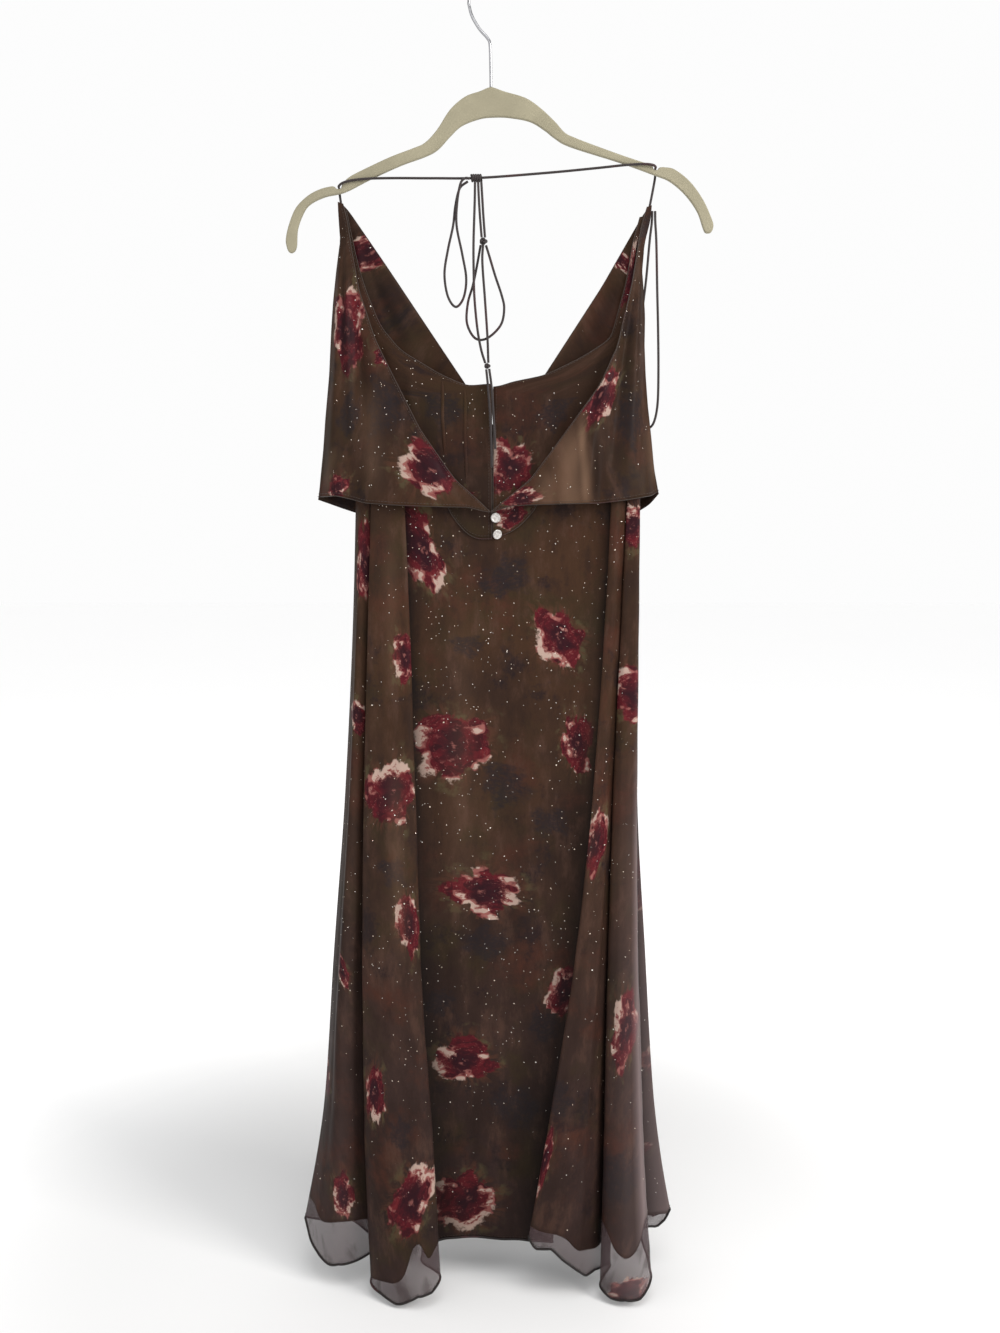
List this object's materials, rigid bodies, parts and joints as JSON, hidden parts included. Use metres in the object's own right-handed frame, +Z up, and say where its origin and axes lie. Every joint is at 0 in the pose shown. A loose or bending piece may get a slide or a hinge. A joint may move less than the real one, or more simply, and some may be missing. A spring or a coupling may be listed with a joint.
{
  "type": "maxi dress on a hanger",
  "caption": "Long dress with a back flounce, a halter string tied in a bow, and a flared lined skirt with a wavy sheer hem, hanging from a slim hanger with a wire hook.",
  "frame": {"origin": "top of the inside of the hanger's hook, where a rail carries it", "axes": "+Z up; the hanger lies in the XZ plane; the back of the dress faces -Y and its front +Y; +X is to the right as the back is seen"},
  "size_m": [0.4507, 0.1272, 1.406],
  "materials": {
    "dress_cloth": "brown satin chiffon with a rose print and glitter",
    "lining_cloth": "plain brown lining",
    "string_cloth": "narrow turned cord of the dress cloth",
    "hanger_velvet": "beige flocked velvet",
    "hook_wire": "polished",
    "button_shell": "pearly"
  },
  "bodies": {
    "root": {"hanger_body": "hanger_velvet", "hanger_hook": "hook_wire", "skirt_back": "dress_cloth", "skirt_front": "dress_cloth", "skirt_lining": "lining_cloth", "bodice_front": "dress_cloth", "bodice_back_left": "dress_cloth", "bodice_back_right": "dress_cloth", "flounce_back_left": "dress_cloth", "flounce_back_right": "dress_cloth", "flounce_front": "dress_cloth", "button_top": "button_shell", "button_low": "button_shell", "halter_string": "string_cloth", "bow_loop_left": "string_cloth", "bow_loop_right": "string_cloth", "bow_band_1": "string_cloth", "bow_band_2": "string_cloth", "tie_end_1": "string_cloth", "tie_end_2": "string_cloth", "tie_tail_1": "string_cloth", "tie_tail_2": "string_cloth", "side_loop": "string_cloth", "knot_middle": "string_cloth", "knot_low": "string_cloth", "string_turn": "string_cloth"}
  },
  "joints": []
}
